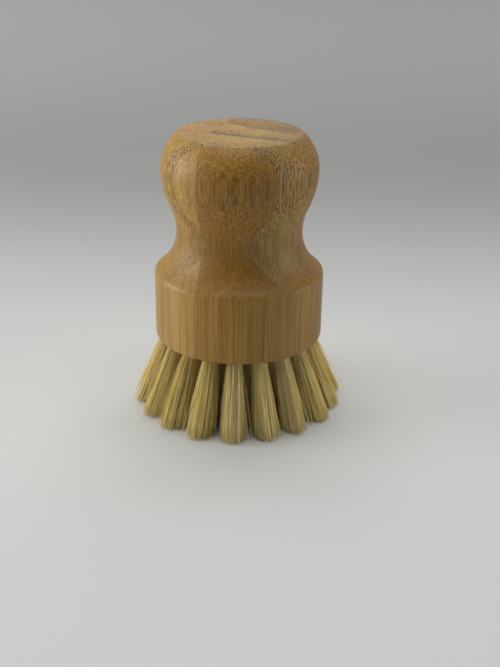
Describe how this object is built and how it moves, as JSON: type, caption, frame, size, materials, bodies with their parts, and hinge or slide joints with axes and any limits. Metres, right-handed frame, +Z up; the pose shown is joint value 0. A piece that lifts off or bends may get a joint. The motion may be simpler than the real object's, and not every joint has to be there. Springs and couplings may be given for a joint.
{
  "type": "dish brush",
  "caption": "Palm-held dish brush: turned bamboo knob with a waist and a round base, set with rings of fibre tufts that flare outwards and end level.",
  "frame": {"origin": "on the brush's axis, level with the trimmed ends of the fibres that it stands on", "axes": "+Z up the axis from the fibres to the knob's top; -Y is the side that faces the picture's camera"},
  "size_m": [0.065, 0.0648, 0.0861],
  "materials": {
    "bamboo": "turned and sanded, satin",
    "plant_fibre": "dry plant fibre, matt"
  },
  "bodies": {
    "root": {"handle": "bamboo", "tuft_centre": "plant_fibre", "tuft_inner_01": "plant_fibre", "tuft_inner_02": "plant_fibre", "tuft_inner_03": "plant_fibre", "tuft_inner_04": "plant_fibre", "tuft_inner_05": "plant_fibre", "tuft_inner_06": "plant_fibre", "tuft_middle_01": "plant_fibre", "tuft_middle_02": "plant_fibre", "tuft_middle_03": "plant_fibre", "tuft_middle_04": "plant_fibre", "tuft_middle_05": "plant_fibre", "tuft_middle_06": "plant_fibre", "tuft_middle_07": "plant_fibre", "tuft_middle_08": "plant_fibre", "tuft_middle_09": "plant_fibre", "tuft_middle_10": "plant_fibre", "tuft_middle_11": "plant_fibre", "tuft_middle_12": "plant_fibre", "tuft_outer_01": "plant_fibre", "tuft_outer_02": "plant_fibre", "tuft_outer_03": "plant_fibre", "tuft_outer_04": "plant_fibre", "tuft_outer_05": "plant_fibre", "tuft_outer_06": "plant_fibre", "tuft_outer_07": "plant_fibre", "tuft_outer_08": "plant_fibre", "tuft_outer_09": "plant_fibre", "tuft_outer_10": "plant_fibre", "tuft_outer_11": "plant_fibre", "tuft_outer_12": "plant_fibre", "tuft_outer_13": "plant_fibre", "tuft_outer_14": "plant_fibre", "tuft_outer_15": "plant_fibre", "tuft_outer_16": "plant_fibre", "tuft_outer_17": "plant_fibre", "tuft_outer_18": "plant_fibre"}
  },
  "joints": []
}
